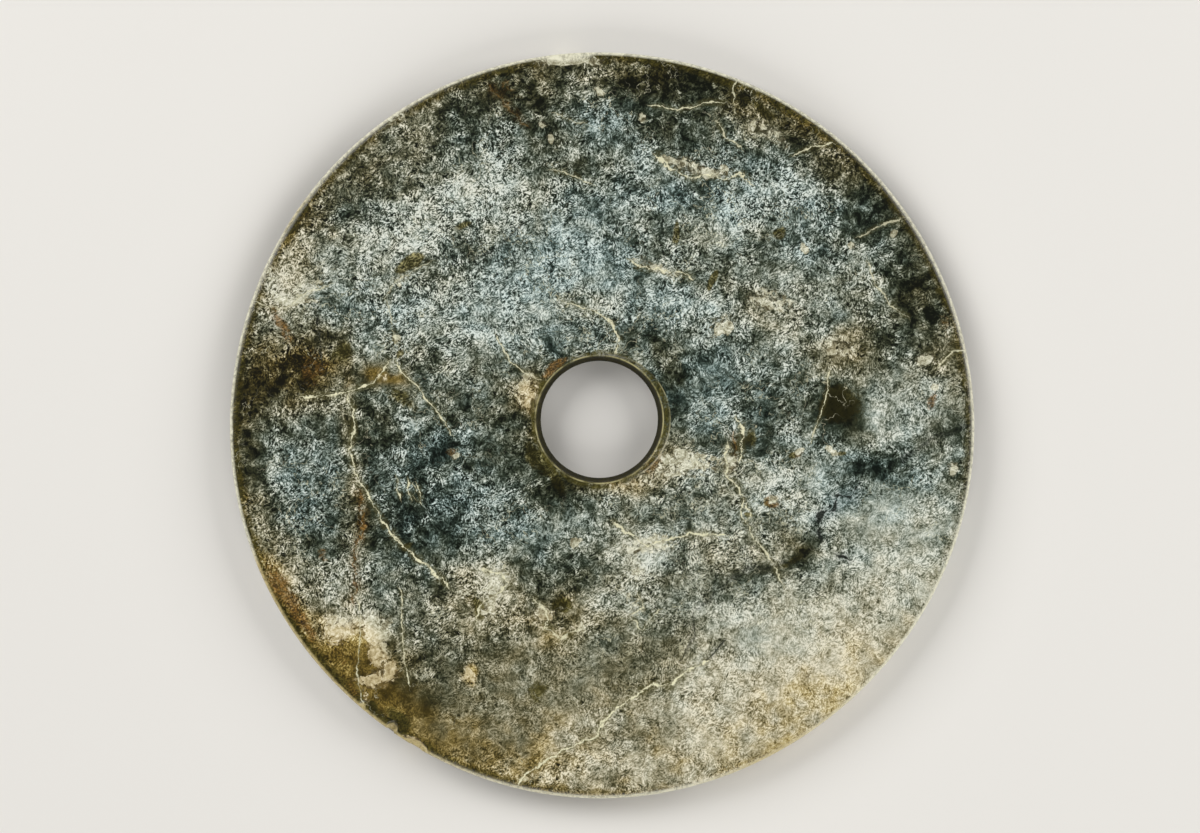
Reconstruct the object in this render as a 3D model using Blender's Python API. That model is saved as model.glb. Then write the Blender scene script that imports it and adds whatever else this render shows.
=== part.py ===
"""A neolithic jade bi: one flat disc of nephrite with a drilled hole, lying on its back face.

Metres, +Z up. The origin is on the resting face, in the middle of the disc's box. The polished
face looks up, and the edge that is topmost when the disc is stood up to be seen points along +Y.
"""

import math

import bmesh
import bpy
from mathutils import Matrix

# The disc
DISC_DIAMETER = 0.240
HUB_THICKNESS = 0.0125
RIM_THICKNESS = 0.0110
RIM_ROUNDING = 0.0022
FACE_RINGS = 7
ROUNDING_STEPS = 5
SEGMENTS = 120

# The outline wavers by a fraction of a millimetre: number of lobes, their height, and the angle
# on the rim of one crest in degrees
OUTLINE_WAVER = (
    (2, 0.00019, 114.0),
    (3, 0.00022, 2.5),
    (4, 0.00013, 3.0),
    (5, 0.00019, 53.0),
)

# The hole, drilled from both faces with a tube, so that it flares from a ridge to two mouths
BORE_DIAMETER = 0.0378
BORE_FLARE = 0.0014
BORE_MOUTH_EASE = 0.0004
BORE_RIDGE_SHARE = 0.46
BORE_OFFSET = (-0.0007, 0.0017)
BORE_SEGMENTS = 96
BORE_WALL_STEPS = 4

# The shallow step that the drill's first start left beside the hole, on the upper face
STEP_SHIFT = 0.0021
STEP_DEPTH = 0.0007

# Losses along the upper edge: name, angle on the rim in degrees, length, reach inwards, depth
RIM_LOSSES = (
    ("top_flake", 95.0, 0.0185, 0.0042, 0.0011),
    ("left_nick", 181.0, 0.0032, 0.0014, 0.0016),
    ("lower_left_spall", 229.6, 0.0024, 0.0030, 0.0010),
    ("lower_left_scoop", 235.4, 0.0042, 0.0034, 0.0030),
    ("lower_left_chip", 240.0, 0.0090, 0.0026, 0.0026),
)
LOSS_DETAIL = 3

# How far a cutting shape stands past the stone that it cuts
CUTTER_MARGIN = 0.004

MERGE_DISTANCE = 1e-6
SHARP_ANGLE = 30.0

JADE_COLOUR = (0.17, 0.19, 0.165, 1.0)
JADE_ROUGHNESS = 0.35

SHOULDER_RADIUS = DISC_DIAMETER / 2 - RIM_ROUNDING
BORE_MOUTH_RADIUS = BORE_DIAMETER / 2 + BORE_FLARE


def outline_radius(angle):
    """Distance from the disc's middle to its outline in one direction, in radians."""
    waver = sum(
        height * math.cos(lobes * (angle - math.radians(crest)))
        for lobes, height, crest in OUTLINE_WAVER
    )
    return DISC_DIAMETER / 2 + waver


def box_middle():
    """The middle of the wavering outline's box, measured from the disc's own middle."""
    angles = [math.tau * step / SEGMENTS for step in range(SEGMENTS)]
    xs = [outline_radius(angle) * math.cos(angle) for angle in angles]
    ys = [outline_radius(angle) * math.sin(angle) for angle in angles]
    return (min(xs) + max(xs)) / 2, (min(ys) + max(ys)) / 2


def upper_face_height(radius):
    """The upper face falls gently from the hub's thickness to the rim's."""
    fall = HUB_THICKNESS - RIM_THICKNESS
    return HUB_THICKNESS - fall * (radius / SHOULDER_RADIUS) ** 2


def rounded_corner(height, start, end):
    """Points of the rim's rounding about one height, from one angle to the other in degrees."""
    points = []
    for step in range(ROUNDING_STEPS + 1):
        turn = math.radians(start + (end - start) * step / ROUNDING_STEPS)
        radius = SHOULDER_RADIUS + RIM_ROUNDING * math.cos(turn)
        points.append((radius, height + RIM_ROUNDING * math.sin(turn)))
    return points


def disc_profile():
    """The disc's half section as (radius, height), from the back face's middle round the rim."""
    back = [(0.0, 0.0)]
    lower_corner = rounded_corner(RIM_ROUNDING, -90, 0)
    upper_corner = rounded_corner(RIM_THICKNESS - RIM_ROUNDING, 0, 90)
    rings = [SHOULDER_RADIUS * ring / FACE_RINGS for ring in range(FACE_RINGS)]
    face = [(radius, upper_face_height(radius)) for radius in reversed(rings)]
    return back + lower_corner + upper_corner + face


def bore_wall(mouth_height, ridge_height):
    """One drilling's wall from its mouth to the ridge, steepest where it meets the other's."""
    points = []
    for step in range(BORE_WALL_STEPS + 1):
        share = step / BORE_WALL_STEPS
        radius = BORE_DIAMETER / 2 + BORE_FLARE * math.cos(share * math.pi / 2)
        points.append((radius, mouth_height + (ridge_height - mouth_height) * share))
    return points


def bore_profile():
    """The hole's half section as (radius, height), from below the disc to above it."""
    eased_radius = BORE_MOUTH_RADIUS + BORE_MOUTH_EASE
    ridge_height = HUB_THICKNESS * BORE_RIDGE_SHARE
    below = [(0.0, -CUTTER_MARGIN), (eased_radius, -CUTTER_MARGIN), (eased_radius, 0.0)]
    lower_wall = bore_wall(BORE_MOUTH_EASE, ridge_height)
    upper_wall = bore_wall(HUB_THICKNESS - BORE_MOUTH_EASE, ridge_height)
    top = HUB_THICKNESS + CUTTER_MARGIN
    above = [(eased_radius, HUB_THICKNESS), (eased_radius, top), (0.0, top)]
    return below + lower_wall + upper_wall[-2::-1] + above


def step_profile():
    """The drill's first start: a wide, shallow round hollow in the upper face."""
    radius = BORE_MOUTH_RADIUS + BORE_MOUTH_EASE
    floor = HUB_THICKNESS - STEP_DEPTH
    top = HUB_THICKNESS + CUTTER_MARGIN
    return [(0.0, floor), (radius, floor), (radius, top), (0.0, top)]


def turned_mesh(name, profile, segments):
    """A closed mesh of revolution about Z from a half section that starts and ends on the axis."""
    shape = bmesh.new()
    verts = [shape.verts.new((radius, 0.0, height)) for radius, height in profile]
    edges = [shape.edges.new(pair) for pair in zip(verts, verts[1:])]
    bmesh.ops.spin(
        shape,
        geom=verts + edges,
        axis=(0.0, 0.0, 1.0),
        cent=(0.0, 0.0, 0.0),
        steps=segments,
        angle=math.tau,
    )
    bmesh.ops.remove_doubles(shape, verts=shape.verts[:], dist=MERGE_DISTANCE)
    bmesh.ops.recalc_face_normals(shape, faces=shape.faces[:])
    return finished_mesh(name, shape)


def loss_mesh(name, length, reach, depth):
    """A spoon-bowl hollow: as long as the loss along the rim, reaching inwards and down from it."""
    shape = bmesh.new()
    bmesh.ops.create_icosphere(shape, subdivisions=LOSS_DETAIL, radius=1.0)
    half_axes = Matrix.Diagonal((reach, length / 2, depth, 1.0))
    bmesh.ops.transform(shape, matrix=half_axes, verts=shape.verts[:])
    return finished_mesh(name, shape)


def finished_mesh(name, shape):
    mesh = bpy.data.meshes.new(name)
    shape.to_mesh(mesh)
    shape.free()
    return mesh


def placed(name, mesh, middle, location=(0.0, 0.0, 0.0), turn=0.0):
    """An object set at a place, and a turn in radians, given from the disc's own middle."""
    made = bpy.data.objects.new(name, mesh)
    bpy.context.scene.collection.objects.link(made)
    made.parent = middle
    made.location = location
    made.rotation_euler = (0.0, 0.0, turn)
    return made


def cut(disc, cutter):
    """Takes the cutter's shape out of the disc."""
    cutter.display_type = "WIRE"
    cutter.hide_render = True
    boolean = disc.modifiers.new(cutter.name, "BOOLEAN")
    boolean.operation = "DIFFERENCE"
    boolean.solver = "EXACT"
    boolean.object = cutter


def follow_outline(mesh):
    """Pushes a turned disc out to its wavering outline."""
    for vertex in mesh.vertices:
        share = outline_radius(math.atan2(vertex.co.y, vertex.co.x)) / (DISC_DIAMETER / 2)
        vertex.co.x *= share
        vertex.co.y *= share


def drill_hole(disc, middle):
    """The hole, a little off the disc's middle, and the crescent of the first start to its right."""
    along, up = BORE_OFFSET
    bore = turned_mesh("bore_cutter", bore_profile(), BORE_SEGMENTS)
    cut(disc, placed("bore_cutter", bore, middle, (along, up, 0.0)))
    start = turned_mesh("first_start_cutter", step_profile(), BORE_SEGMENTS)
    cut(disc, placed("first_start_cutter", start, middle, (along + STEP_SHIFT, up, 0.0)))


def break_edge(disc, middle):
    """The chips and flakes that the upper edge has lost."""
    for name, degrees, length, reach, depth in RIM_LOSSES:
        angle = math.radians(degrees)
        radius = outline_radius(angle)
        place = (radius * math.cos(angle), radius * math.sin(angle), RIM_THICKNESS)
        mesh = loss_mesh(name, length, reach, depth)
        cut(disc, placed(name + "_cutter", mesh, middle, place, angle))


def jade_material():
    """Polished mottled nephrite, as one even colour."""
    material = bpy.data.materials.new("jade")
    material.use_nodes = True
    shader = material.node_tree.nodes["Principled BSDF"]
    shader.inputs["Base Color"].default_value = JADE_COLOUR
    shader.inputs["Roughness"].default_value = JADE_ROUGHNESS
    shader.inputs["Metallic"].default_value = 0.0
    return material


def build():
    for old in list(bpy.data.objects):
        bpy.data.objects.remove(old)
    middle = bpy.data.objects.new("disc_middle", None)
    bpy.context.scene.collection.objects.link(middle)
    across, up = box_middle()
    middle.location = (-across, -up, 0.0)

    mesh = turned_mesh("jade_disc", disc_profile(), SEGMENTS)
    follow_outline(mesh)
    mesh.materials.append(jade_material())
    mesh.shade_smooth()
    mesh.set_sharp_from_angle(angle=math.radians(SHARP_ANGLE))
    disc = placed("jade_disc", mesh, middle)
    drill_hole(disc, middle)
    break_edge(disc, middle)


build()
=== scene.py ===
"""A neolithic jade bi on a pale studio floor, seen face-on as in the photograph.

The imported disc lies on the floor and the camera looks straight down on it. A finer disc replaces
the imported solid. It keeps that solid's form and adds the fine wear, and each of its points holds
how pale, warm, calcified or rusty the stone is there. The material turns those fields into jade.
Metres, +Z up. Places on the stone are given in the photograph's pixels, 1200 wide and 833 high.
"""

import math

import bpy
import numpy as np
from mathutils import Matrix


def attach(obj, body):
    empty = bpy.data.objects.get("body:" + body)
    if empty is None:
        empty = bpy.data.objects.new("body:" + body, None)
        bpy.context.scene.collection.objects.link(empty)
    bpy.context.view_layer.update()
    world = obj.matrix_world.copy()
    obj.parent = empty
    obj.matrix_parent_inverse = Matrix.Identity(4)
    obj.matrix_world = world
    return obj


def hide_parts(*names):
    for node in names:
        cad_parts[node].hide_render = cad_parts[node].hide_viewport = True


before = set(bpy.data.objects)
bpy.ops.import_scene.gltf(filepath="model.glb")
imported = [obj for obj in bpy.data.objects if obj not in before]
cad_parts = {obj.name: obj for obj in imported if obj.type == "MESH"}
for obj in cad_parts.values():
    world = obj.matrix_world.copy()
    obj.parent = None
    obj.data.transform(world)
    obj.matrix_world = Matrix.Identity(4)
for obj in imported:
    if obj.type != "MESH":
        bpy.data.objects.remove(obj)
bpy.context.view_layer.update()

# The disc's sizes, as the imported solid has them
DISC_DIAMETER = 0.240
HUB_THICKNESS = 0.0125
RIM_THICKNESS = 0.0110
RIM_ROUNDING = 0.0022
OUTLINE_WAVER = (
    (2, 0.00019, 114.0),
    (3, 0.00022, 2.5),
    (4, 0.00013, 3.0),
    (5, 0.00019, 53.0),
)
BORE_DIAMETER = 0.0378
BORE_FLARE = 0.0014
BORE_MOUTH_EASE = 0.0004
BORE_RIDGE_SHARE = 0.46
BORE_OFFSET = (-0.0007, 0.0017)
STEP_SHIFT = 0.0021
STEP_DEPTH = 0.0007
RIM_LOSSES = (
    ("top_flake", 95.0, 0.0185, 0.0042, 0.0011),
    ("left_nick", 181.0, 0.0032, 0.0014, 0.0016),
    ("lower_left_spall", 229.6, 0.0024, 0.0030, 0.0010),
    ("lower_left_scoop", 235.4, 0.0042, 0.0034, 0.0030),
    ("lower_left_chip", 240.0, 0.0090, 0.0026, 0.0026),
)
SHOULDER_RADIUS = DISC_DIAMETER / 2 - RIM_ROUNDING
BORE_MOUTH_RADIUS = BORE_DIAMETER / 2 + BORE_FLARE + BORE_MOUTH_EASE

# The photograph: its size, the disc's middle and width there, and the camera
PHOTO_WIDTH = 1200
PHOTO_HEIGHT = 833
DISC_MIDDLE_PX = (601.5, 424.7)
DISC_DIAMETER_PX = 744.5
PX = DISC_DIAMETER / DISC_DIAMETER_PX
LENS_MM = 100.0
SENSOR_MM = 36.0

# The fine mesh: columns round the disc, and rings over each part of its section
COLUMNS = 720
CROWDED_ANGLE = 235.0
CROWDED_WIDTH = 9.0
CROWDING = 1.6
HOLE_SIDE_RINGS = 10
HOLE_SIDE_SPACING = 0.0003
FACE_RINGS = 78
RIM_SIDE_RINGS = 8
RIM_SIDE_SPACING = 0.00055
CORNER_RINGS = 4
WALL_RINGS = 3
UNDERSIDE_RINGS = 15
BORE_RINGS = 6

MM = 0.001


def outline_radius(angle):
    """Distance from the disc's middle to its outline, for an array of angles in radians."""
    radius = np.full_like(angle, DISC_DIAMETER / 2)
    for lobes, height, crest in OUTLINE_WAVER:
        radius += height * np.cos(lobes * (angle - math.radians(crest)))
    return radius


def outline_box_middle():
    """The middle of the outline's box, from the disc's own middle: the frame's origin is there."""
    angle = np.linspace(0, math.tau, 1440, endpoint=False)
    x = outline_radius(angle) * np.cos(angle)
    y = outline_radius(angle) * np.sin(angle)
    return (x.min() + x.max()) / 2, (y.min() + y.max()) / 2


BOX_MIDDLE = outline_box_middle()


def smoothstep(low, high, value):
    share = np.clip((value - low) / (high - low), 0, 1)
    return share * share * (3 - 2 * share)


def lattice_noise(x, y, cell, seed):
    """Smooth noise from -1 to 1 with features about one cell wide."""
    lattice = np.random.default_rng(seed).uniform(-1, 1, (256, 256))
    u, v = x / cell + 128, y / cell + 128
    column, row = np.floor(u).astype(int), np.floor(v).astype(int)
    along, up = smoothstep(0, 1, u - column), smoothstep(0, 1, v - row)
    low = lattice[row, column] * (1 - along) + lattice[row, column + 1] * along
    high = lattice[row + 1, column] * (1 - along) + lattice[row + 1, column + 1] * along
    return low * (1 - up) + high * up


def to_photo(x, y):
    """A place in the frame as a pixel of the photograph."""
    across = DISC_MIDDLE_PX[0] + (x + BOX_MIDDLE[0]) / PX
    down = DISC_MIDDLE_PX[1] - (y + BOX_MIDDLE[1]) / PX
    return across, down


def from_photo(across, down):
    """A pixel of the photograph as a place in the frame."""
    x = (across - DISC_MIDDLE_PX[0]) * PX - BOX_MIDDLE[0]
    y = (DISC_MIDDLE_PX[1] - down) * PX - BOX_MIDDLE[1]
    return x, y


# Patches on the stone, by feature or area: pixel across and down, half length, half width, strength
# at the middle, which has halved at the ellipse, and the length's turn in degrees if it isn't level.

# Paleness, as a change from the stone's usual shade; 1 would turn black to white
BASE_SHADE = 0.44
SHADE_PATCHES = {
    "pale lower right corner": [(795, 668, 238, 98, 0.26, 32)],
    "upper left drift": [(448, 205, 86, 30, 0.24, 14), (380, 250, 44, 18, 0.14, 24)],
    "left rim bloom": [(282, 288, 32, 24, 0.21, 40)],
    "lights, left": [(478, 312, 62, 42, 0.15), (306, 470, 40, 24, 0.05)],
    "lights, top": [
        (572, 268, 42, 30, 0.17, 25), (648, 164, 34, 12, 0.1, -14), (500, 270, 30, 20, 0.1),
        (556, 224, 46, 14, 0.07, 6),
    ],
    "lights, middle": [
        (690, 306, 32, 20, 0.19, -10), (562, 528, 38, 14, 0.09, 10), (604, 304, 28, 16, 0.12),
        (645, 312, 48, 12, 0.05),
    ],
    "cyan band": [(762, 198, 62, 20, 0.13, 22), (722, 228, 32, 16, 0.1, 20)],
    "lights, right": [
        (783, 322, 42, 32, 0.1, -20), (905, 404, 40, 44, 0.16), (800, 478, 50, 24, 0.17, 8),
        (874, 412, 13, 24, 0.17), (900, 520, 38, 16, 0.11, -10),
    ],
    "lights by the hole": [(684, 472, 48, 20, 0.08, 12), (572, 522, 34, 12, 0.06)],
    "bright knot low centre": [(642, 550, 26, 17, 0.24, 15)],
    "lights, bottom": [
        (634, 592, 30, 22, 0.1, 60), (600, 748, 60, 30, 0.1, 20), (526, 636, 26, 14, 0.11, 20),
        (600, 592, 15, 26, 0.08), (500, 614, 36, 14, 0.06), (602, 626, 13, 26, 0.08),
    ],
    "low left knot": [(488, 578, 22, 34, 0.17, 15)],
    "lights, lower left": [
        (352, 614, 34, 20, 0.2, -14), (305, 580, 40, 20, 0.05, -10), (268, 582, 11, 16, 0.28, -30),
    ],
    "gaps, top": [
        (486, 112, 56, 26, -0.16, 24), (664, 92, 50, 30, -0.26, -12), (556, 172, 40, 15, -0.13),
        (670, 134, 40, 14, -0.09, -5), (704, 192, 28, 13, -0.12, 8), (540, 76, 22, 8, -0.14, 5),
    ],
    "gaps, upper right": [
        (742, 96, 40, 20, -0.18, -30), (866, 205, 24, 56, -0.2, 36), (812, 152, 18, 24, -0.18, 30),
        (800, 166, 26, 12, -0.09, -10),
    ],
    "gaps, right": [
        (926, 300, 22, 48, -0.19, 14), (884, 348, 30, 20, -0.1), (764, 400, 17, 20, -0.15),
        (720, 442, 44, 17, -0.1),
    ],
    "gaps, upper left": [
        (456, 250, 24, 15, -0.14, 22), (364, 186, 22, 46, -0.13, -28), (300, 218, 18, 18, -0.3),
        (378, 221, 32, 12, -0.2),
    ],
    "gaps by the hole": [
        (628, 342, 44, 18, -0.13, -8), (552, 376, 16, 22, -0.08), (566, 494, 36, 14, -0.21, 8),
        (668, 400, 15, 34, -0.17, -8),
    ],
    "left olive shadow": [(282, 374, 42, 30, -0.19, -12), (322, 372, 22, 22, -0.14)],
    "gaps, left": [
        (252, 440, 16, 64, -0.17, 6), (428, 372, 15, 22, -0.15), (374, 432, 17, 34, -0.17),
        (336, 530, 14, 36, -0.09), (434, 462, 30, 11, -0.08), (316, 492, 30, 11, -0.09),
        (420, 488, 16, 26, -0.12),
    ],
    "gaps, middle": [(484, 434, 52, 26, -0.11)],
    "dark left field": [(414, 528, 54, 34, -0.14, -10), (432, 466, 20, 22, -0.1)],
    "dark round spot": [(838, 406, 22, 24, -0.32)],
    "border band": [
        (872, 462, 34, 14, -0.17, 14), (938, 432, 22, 12, -0.1, 20), (804, 548, 28, 13, -0.22, 52),
        (756, 578, 48, 13, -0.19, 16), (874, 478, 32, 12, -0.24),
    ],
    "gaps, bottom": [
        (552, 588, 16, 26, -0.1), (650, 655, 44, 36, -0.15, 40), (634, 726, 34, 18, -0.16, 14),
        (600, 770, 26, 12, -0.13), (676, 616, 26, 16, -0.08), (660, 750, 24, 22, -0.08),
    ],
    "gaps, lower left": [(436, 668, 42, 40, -0.08, 10), (404, 692, 40, 22, -0.12, -35)],
    "lights, upper right": [
        (806, 282, 42, 18, 0.13, -8), (842, 200, 15, 60, 0.08, 22), (748, 280, 34, 9, 0.07),
    ],
    "lights, lower right": [(722, 612, 18, 13, 0.15), (928, 584, 12, 20, 0.08, 26)],
    "lights, upper left": [(424, 250, 30, 12, 0.08)],
    "comb": [(409, 488, 13, 7, 0.14)],
    "small star": [(470, 675, 8, 6, 0.3, -38)],
}

# Warmth, from bluish grey at 0 to olive and beige at 1
BASE_WARMTH = 0.02
WARMTH_PATCHES = {
    "lower part": [(600, 800, 440, 160, 0.66)],
    "warm, lower left": [
        (334, 698, 108, 54, 0.8, -42), (270, 560, 64, 30, 0.62, -68), (276, 586, 18, 36, 0.5, 26),
        (352, 682, 44, 30, 0.3, -40), (340, 650, 40, 26, 0.22, -40), (366, 694, 26, 20, 0.3, -40),
        (268, 576, 10, 18, 0.3, -30),
    ],
    "warm, lower right": [
        (850, 670, 120, 60, 0.36, 46), (740, 545, 60, 20, 0.24, 20), (770, 760, 60, 16, 0.24, 30),
        (796, 552, 16, 12, 0.5),
    ],
    "warm, upper left": [
        (300, 226, 76, 26, 0.62, 58), (410, 130, 90, 28, 0.36, 42), (300, 218, 26, 30, 0.24, 50),
    ],
    "left olive shadow": [(300, 374, 52, 36, 0.95, -10), (330, 374, 14, 10, 0.3)],
    "golden knot": [(387, 373, 14, 9, 1.2, 25)],
    "left vein's course": [(358, 420, 10, 70, 0.45, 4)],
    "rust vein's course": [(362, 520, 16, 46, 0.6)],
    "warm by the hole": [
        (530, 404, 20, 30, 0.95), (655, 462, 46, 20, 0.6, 25), (606, 488, 42, 9, 0.5),
        (664, 372, 14, 20, 0.6, 20), (538, 374, 14, 14, 0.3),
    ],
    "cream cloud on the right": [(838, 352, 32, 22, 0.6, 10)],
    "warm, right": [(770, 312, 38, 22, 0.3, -20), (940, 330, 24, 60, 0.4, 14)],
    "right vein": [(735, 462, 14, 34, 0.32)],
    "warm, upper right": [
        (800, 125, 96, 30, 0.62, -38), (720, 105, 70, 18, 0.26, -20), (900, 226, 16, 30, 0.3, 30),
    ],
    "warm, top": [
        (600, 62, 120, 26, 0.5), (676, 232, 36, 16, 0.3), (500, 96, 50, 22, 0.26, 10),
        (546, 130, 46, 22, 0.3, -30),
    ],
    "low left knot": [(492, 600, 34, 42, 0.36)],
    "low middle knot": [(560, 620, 34, 26, 0.52)],
    "cool, left": [
        (320, 480, 50, 50, -0.28), (425, 470, 56, 46, -0.34, 20), (366, 312, 44, 24, -0.34),
    ],
    "cool, middle": [
        (480, 530, 80, 34, -0.3, 10), (556, 290, 84, 60, -0.4), (676, 304, 44, 24, -0.34),
    ],
    "cool, top": [(690, 200, 130, 40, -0.34, 18), (570, 130, 74, 34, -0.26)],
    "cool by the hole": [(706, 400, 70, 54, -0.42, 10)],
    "cool, right": [(870, 484, 70, 30, -0.36, 14)],
    "cool, upper right": [(826, 226, 48, 36, -0.28)],
    "warm, bottom": [(494, 744, 70, 40, 0.22, -14)],
    "warm, left": [(244, 420, 18, 70, 0.5), (268, 306, 20, 12, 0.25)],
    "warm, middle": [(582, 308, 30, 12, 0.5, -10)],
    "corroded field": [(360, 640, 36, 32, 0.5)],
    "small star": [(470, 676, 8, 8, 0.7)],
}

# Calcified cream crust: it shows where the field, with a fine noise on it, passes a half
CREAM_PATCHES = {
    "top scar": [(564, 59, 26, 5, 1.0, 5), (594, 63, 11, 5, 0.85)],
    "left rim bloom": [(300, 290, 36, 12, 0.46, 16), (268, 272, 10, 20, 0.42, 20)],
    "crust, upper left": [(396, 121, 13, 8, 0.55, 20), (402, 282, 14, 6, 0.5, 36)],
    "crust, upper right": [(768, 134, 26, 8, 0.62, -24)],
    "top streak": [(684, 164, 26, 8, 0.74, -16), (716, 172, 17, 6, 0.66, 6)],
    "crust, top": [(655, 268, 28, 6, 0.58, -14)],
    "cream cloud": [(770, 302, 24, 14, 0.66, -15), (721, 324, 14, 14, 0.56, 40)],
    "crust, right": [
        (836, 348, 22, 15, 0.56, -12), (925, 360, 7, 4, 1.1), (954, 468, 4, 8, 1.1),
        (834, 451, 9, 4, 0.8, -20), (731, 462, 6, 16, 0.58),
    ],
    "golden knot": [(384, 376, 18, 9, 0.4, 30), (350, 388, 14, 5, 0.36, 10)],
    "crust by the hole": [
        (528, 393, 12, 18, 0.86), (672, 464, 24, 13, 0.66, 14), (640, 482, 13, 7, 0.44, 10),
        (614, 488, 16, 5, 0.5),
    ],
    "crust, middle": [(708, 466, 24, 13, 0.42), (573, 541, 5, 6, 0.9, 40)],
    "bright knot": [(650, 546, 24, 11, 0.7, 10), (634, 572, 12, 12, 0.4)],
    "low left knot": [
        (496, 580, 13, 18, 0.66, -12), (489, 611, 11, 11, 0.78), (463, 595, 10, 4, 0.62, 10),
    ],
    "low middle knot": [(544, 612, 12, 12, 0.66), (583, 628, 5, 6, 0.9)],
    "corroded field": [
        (337, 627, 15, 12, 0.9, 10), (373, 626, 16, 15, 0.88), (379, 652, 12, 14, 0.74, 10),
        (372, 681, 17, 9, 0.82), (391, 672, 9, 8, 0.7),
    ],
    "lower left chip": [(416, 744, 17, 5, 0.8, -32)],
    "lower left spall": [(368, 700, 4, 6, 0.6)],
    "pink spot": [(808, 673, 7, 5, 0.7)],
    "crust, bottom": [(528, 772, 14, 8, 0.5, 42), (636, 602, 12, 12, 0.5)],
    "crust, left": [(400, 340, 5, 4, 0.7), (300, 300, 20, 4, 0.5, -4)],
    "small star": [(469, 675, 9, 3, 1.1, -38), (464, 678, 5, 2.5, 0.6, 30)],
}

# Small round flecks of it: half width, strength, and the places
CREAM_SPECKS = {
    "white flecks": (4, 1.0, (
        (598, 94), (645, 117), (541, 128), (548, 140), (893, 235), (853, 245), (802, 246),
        (934, 390), (797, 451), (455, 458), (774, 497),
    )),
}

# Rust and ochre stains
RUST_PATCHES = {
    "stains, left": [
        (280, 325, 15, 5, 0.9, -60), (316, 368, 14, 22, 0.56, 10), (451, 453, 5, 5, 0.7),
    ],
    "stains, lower left": [
        (286, 594, 40, 9, 0.86, -60), (312, 634, 16, 7, 0.5, -55), (323, 556, 5, 9, 0.7, 10),
        (347, 654, 16, 10, 0.45, -20), (354, 692, 13, 7, 0.45, -45),
    ],
    "stains by the hole": [
        (556, 367, 17, 5, 0.95, 42), (650, 462, 15, 7, 0.7, 48), (606, 484, 24, 4, 0.42),
    ],
    "gold pit": [(796, 453, 5, 4, 0.9)],
    "lower gold pit": [(773, 499, 7, 6, 1.0)],
    "stains, right": [(933, 403, 5, 8, 1.0, -15), (944, 326, 8, 20, 0.42, 14)],
    "stains, top": [(512, 92, 22, 9, 0.36, -30)],
    "stains, bottom": [(644, 714, 24, 16, 0.3, 20)],
    "small star": [(472, 678, 5, 5, 0.4)],
}

# Where the olive band along the rim, partly the stone's own olive and partly painted translucency, the
# colour of light through its thin edge, is missing or stronger; elsewhere it is 1
OLIVE_RIM_PATCHES = {
    "pale lower right corner": [(860, 650, 190, 150, -0.95, 40)],
    "bottom": [(640, 790, 110, 40, -0.5)],
    "left": [(236, 430, 30, 110, 0.3)],
}

# Clear olive spots: they show where the field, with a fine noise on it, passes a half
WINDOW_PATCHES = {
    "lens at upper left": [(411, 265, 16, 7, 1.0, 36)],
    "clear spots, upper left": [(462, 227, 10, 5, 0.7, 8)],
    "clear spots, top": [
        (673, 229, 12, 4, 0.85, 82), (713, 280, 9, 4, 1.0, 78), (606, 62, 7, 4, 0.9),
    ],
    "clear spots, upper right": [(779, 236, 10, 7, 0.75, 40), (760, 110, 34, 7, 0.6, -32)],
    "round spot": [(840, 406, 24, 20, 0.72, 20)],
    "clear spots by the hole": [(545, 468, 36, 9, 0.8, -52), (532, 402, 4, 5, 0.8)],
    "left olive shadow": [(308, 370, 32, 20, 0.4, 10)],
    "clear spots, lower left": [
        (408, 548, 9, 5, 0.8, 20), (372, 706, 9, 6, 0.7, -40), (400, 720, 18, 8, 0.7, -36),
        (479, 610, 6, 12, 0.9, 10), (372, 676, 5, 5, 0.8), (384, 672, 4, 4, 0.7),
    ],
    "clear spots, left": [
        (402, 400, 20, 9, 0.6, -34), (344, 352, 10, 14, 0.6), (398, 354, 5, 3, 0.9, 30),
        (397, 343, 4, 3, 0.8, 20),
    ],
    "clear spots, bottom": [(562, 607, 12, 7, 1.0, -14), (538, 692, 12, 15, 0.62)],
    "gold pit": [(791, 453, 6, 5, 0.7)],
    "clear spots, right": [
        (770, 500, 7, 5, 0.8), (750, 436, 7, 14, 0.66), (745, 516, 4, 4, 0.9),
        (962, 384, 3, 5, 0.7), (842, 453, 6, 4, 0.8),
    ],
    "clear spots, lower right": [(792, 560, 16, 5, 0.66, 14)],
}

# How strongly the grain stands out; elsewhere it is 1
GRIT_PATCHES = {
    "pale lower right corner": [(800, 672, 220, 92, -0.58, 32)],
    "bottom": [(480, 700, 110, 60, -0.3)],
    "calm, bottom": [
        (600, 640, 120, 50, -0.16), (572, 676, 50, 24, -0.2), (484, 738, 70, 36, -0.34),
    ],
    "calm, right": [(905, 404, 44, 50, -0.3), (802, 474, 30, 20, -0.2), (890, 522, 40, 24, -0.3)],
    "upper left drift": [(440, 215, 110, 60, 0.22, 14)],
    "cyan band": [(740, 200, 100, 50, 0.14, 14)],
    "dark left field": [(430, 490, 60, 50, 0.3)],
    "dark round spot": [(840, 406, 26, 24, -0.55)],
    "left olive shadow": [(296, 362, 44, 30, 0.3)],
    "golden knot": [(386, 374, 16, 11, -0.7, 20)],
    "corroded field": [(350, 656, 46, 36, -0.5, -30)],
    "rough, top": [(560, 112, 130, 34, 0.16)],
    "rough, upper left": [(398, 275, 40, 26, 0.2)],
    "calm by the hole": [(700, 395, 28, 42, -0.22)],
    "rough by the hole": [(684, 468, 30, 22, 0.34)],
    "rough, right": [(900, 472, 34, 18, 0.16)],
    "calm, middle": [(555, 536, 90, 34, -0.2)],
    "rough, lower right": [(850, 600, 44, 46, 0.3)],
    "rough, bottom": [(716, 684, 54, 40, 0.24)],
    "calm, lower left": [(398, 706, 46, 26, -0.38, -40)],
}

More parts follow.
